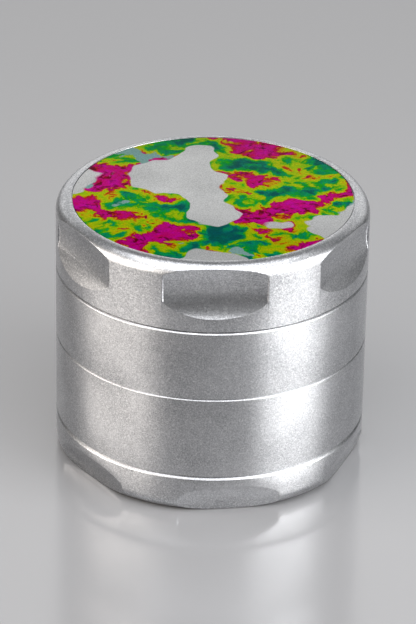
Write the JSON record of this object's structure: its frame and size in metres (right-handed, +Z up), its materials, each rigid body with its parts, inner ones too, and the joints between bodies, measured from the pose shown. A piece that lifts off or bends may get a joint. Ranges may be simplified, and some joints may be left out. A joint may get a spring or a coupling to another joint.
{
  "type": "herb grinder",
  "caption": "Round metal herb grinder: a toothed lid over a toothed chamber with drop holes, a screened chamber and a catcher, screwed together.",
  "frame": {"origin": "centre of the underside of the catcher, on the surface the grinder stands on", "axes": "+Z up along the common axis to the lid; +X and +Y are level, with one lid grip and one catcher grip facing -Y"},
  "size_m": [0.063, 0.063, 0.055],
  "materials": {
    "body_metal": "satin, fine bead blast, clear anodised",
    "lid_metal": "satin, coarser bead blast, clear anodised",
    "inlay_print": "marbled colours printed on satin metal",
    "screen_steel": "fine woven wire",
    "ring_steel": "turned",
    "magnet_plate": "bright nickel plate",
    "seal_rubber": "matt",
    "ring_plastic": "waxy",
    "scraper_plastic": "fine spark texture"
  },
  "bodies": {
    "catcher": {"kief_catcher": "body_metal", "scraper": "scraper_plastic"},
    "lower_seal": {"lower_thread_seal": "seal_rubber"},
    "sieve": {"sieve_chamber": "body_metal", "sieve_screen": "screen_steel", "screen_ring": "ring_steel"},
    "upper_seal": {"upper_thread_seal": "seal_rubber"},
    "chamber": {"grinding_chamber": "body_metal", "chamber_teeth": "body_metal", "chamber_magnet": "magnet_plate"},
    "slip_ring": {"friction_ring": "ring_plastic"},
    "lid": {"lid": "lid_metal", "lid_teeth": "lid_metal", "lid_magnet": "magnet_plate", "lid_inlay": "inlay_print"}
  },
  "joints": [
    {"name": "sieve_rise", "type": "slide", "parent": "catcher", "child": "lower_seal", "axis": [0, 0, 1], "range_m": [0, 0.0045]},
    {"name": "sieve_unscrew", "type": "hinge", "parent": "lower_seal", "child": "sieve", "pos_m": [0, 0, 0.0085], "axis": [0, 0, 1], "range_deg": [0, 1080]},
    {"name": "chamber_rise", "type": "slide", "parent": "sieve", "child": "upper_seal", "axis": [0, 0, 1], "range_m": [0, 0.0045]},
    {"name": "chamber_unscrew", "type": "hinge", "parent": "upper_seal", "child": "chamber", "pos_m": [0, 0, 0.026], "axis": [0, 0, 1], "range_deg": [0, 1080]},
    {"name": "lid_lift", "type": "slide", "parent": "chamber", "child": "slip_ring", "axis": [0, 0, 1], "range_m": [0, 0.025]},
    {"name": "lid_spin", "type": "hinge", "parent": "slip_ring", "child": "lid", "pos_m": [0, 0, 0.0407], "axis": [0, 0, 1], "continuous": true}
  ],
  "couplings": [
    {"joint": "sieve_rise", "follows": "sieve_unscrew", "m_per_rad": 0.00023873},
    {"joint": "chamber_rise", "follows": "chamber_unscrew", "m_per_rad": 0.00023873}
  ]
}
